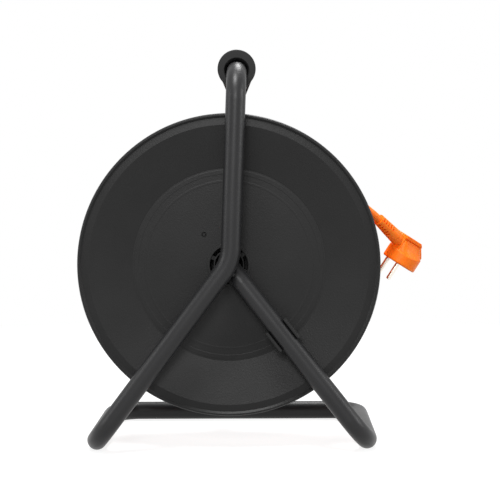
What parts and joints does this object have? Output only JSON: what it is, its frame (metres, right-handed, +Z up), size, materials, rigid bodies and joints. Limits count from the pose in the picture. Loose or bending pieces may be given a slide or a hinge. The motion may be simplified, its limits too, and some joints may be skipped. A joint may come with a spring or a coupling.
{
  "type": "extension cord reel",
  "caption": "Cable drum with orange mains lead, lidded sockets and a crank knob, turning on an A-shaped stand bent from one steel tube with a carry grip on top.",
  "frame": {"origin": "on the floor, under the middle of the stand's box without the free cord and plug", "axes": "+Z up; the drum turns about an axis along Y; the plain rear side of the drum and the legs face -Y, the sockets and the winding knob face +Y"},
  "size_m": [0.3563, 0.2199, 0.4079],
  "materials": {
    "black_paint": "satin black powder coat",
    "black_plastic": "fine-grained black moulding",
    "grip_plastic": "matte black moulding",
    "zinc_steel": "bright zinc plate",
    "red_plastic": "gloss",
    "brass": "plain pressed brass",
    "white_plastic": "matte",
    "orange_pvc": "satin soft PVC"
  },
  "bodies": {
    "frame": {"frame_tube": "black_paint", "carry_grip": "grip_plastic", "glide_clip": "grip_plastic", "axle_washer": "zinc_steel", "axle_end_cap": "grip_plastic", "free_cord": "orange_pvc", "strain_relief": "orange_pvc", "plug_body": "orange_pvc", "plug_pin_1": "brass", "plug_pin_2": "brass"},
    "drum": {"rear_flange": "black_plastic", "front_flange": "black_plastic", "drum_screw_1": "zinc_steel", "drum_screw_2": "zinc_steel", "drum_screw_3": "zinc_steel", "drum_screw_4": "zinc_steel", "socket_panel": "black_plastic", "panel_screw_1": "zinc_steel", "panel_screw_2": "zinc_steel", "panel_screw_3": "zinc_steel", "socket_1": "black_plastic", "socket_2": "black_plastic", "socket_3": "black_plastic", "socket_4": "black_plastic", "earth_clip_1": "brass", "earth_clip_2": "brass", "earth_clip_3": "brass", "earth_clip_4": "brass", "live_ring": "brass", "neutral_ring": "brass", "earth_ring": "brass", "lid_pin_1": "zinc_steel", "lid_pin_2": "zinc_steel", "lid_pin_3": "zinc_steel", "lid_pin_4": "zinc_steel", "thermal_cutout": "black_plastic", "terminal_block": "white_plastic", "inner_lead": "orange_pvc", "knob_pin": "zinc_steel", "winding": "orange_pvc", "winding_core": "orange_pvc"},
    "lid_1": {"socket_lid_1": "black_plastic"},
    "lid_2": {"socket_lid_2": "black_plastic"},
    "lid_3": {"socket_lid_3": "black_plastic"},
    "lid_4": {"socket_lid_4": "black_plastic"},
    "reset": {"reset_button": "red_plastic"},
    "knob": {"winding_knob": "black_plastic"}
  },
  "joints": [
    {"name": "drum_spin", "type": "hinge", "parent": "frame", "child": "drum", "pos_m": [0, 0, 0.189], "axis": [0, 1, 0], "continuous": true},
    {"name": "lid_1_hinge", "type": "hinge", "parent": "drum", "child": "lid_1", "pos_m": [0.05409, 0.0445, 0.13491], "axis": [-0.7071, 0, -0.7071], "range_deg": [0, 110], "stiffness_Nm_per_rad": 0.02, "springref_deg": -28.65},
    {"name": "lid_2_hinge", "type": "hinge", "parent": "drum", "child": "lid_2", "pos_m": [-0.05409, 0.0445, 0.13491], "axis": [-0.7071, 0, 0.7071], "range_deg": [0, 110], "stiffness_Nm_per_rad": 0.02, "springref_deg": -28.65},
    {"name": "lid_3_hinge", "type": "hinge", "parent": "drum", "child": "lid_3", "pos_m": [-0.05409, 0.0445, 0.24309], "axis": [0.7071, 0, 0.7071], "range_deg": [0, 110], "stiffness_Nm_per_rad": 0.02, "springref_deg": -28.65},
    {"name": "lid_4_hinge", "type": "hinge", "parent": "drum", "child": "lid_4", "pos_m": [0.05409, 0.0445, 0.24309], "axis": [0.7071, 0, -0.7071], "range_deg": [0, 110], "stiffness_Nm_per_rad": 0.02, "springref_deg": -28.65},
    {"name": "reset_press", "type": "slide", "parent": "drum", "child": "reset", "axis": [0, -1, 0], "range_m": [0, 0.003], "stiffness_N_per_m": 400},
    {"name": "knob_spin", "type": "hinge", "parent": "drum", "child": "knob", "pos_m": [0, 0.05, 0.071], "axis": [0, 1, 0], "continuous": true}
  ]
}
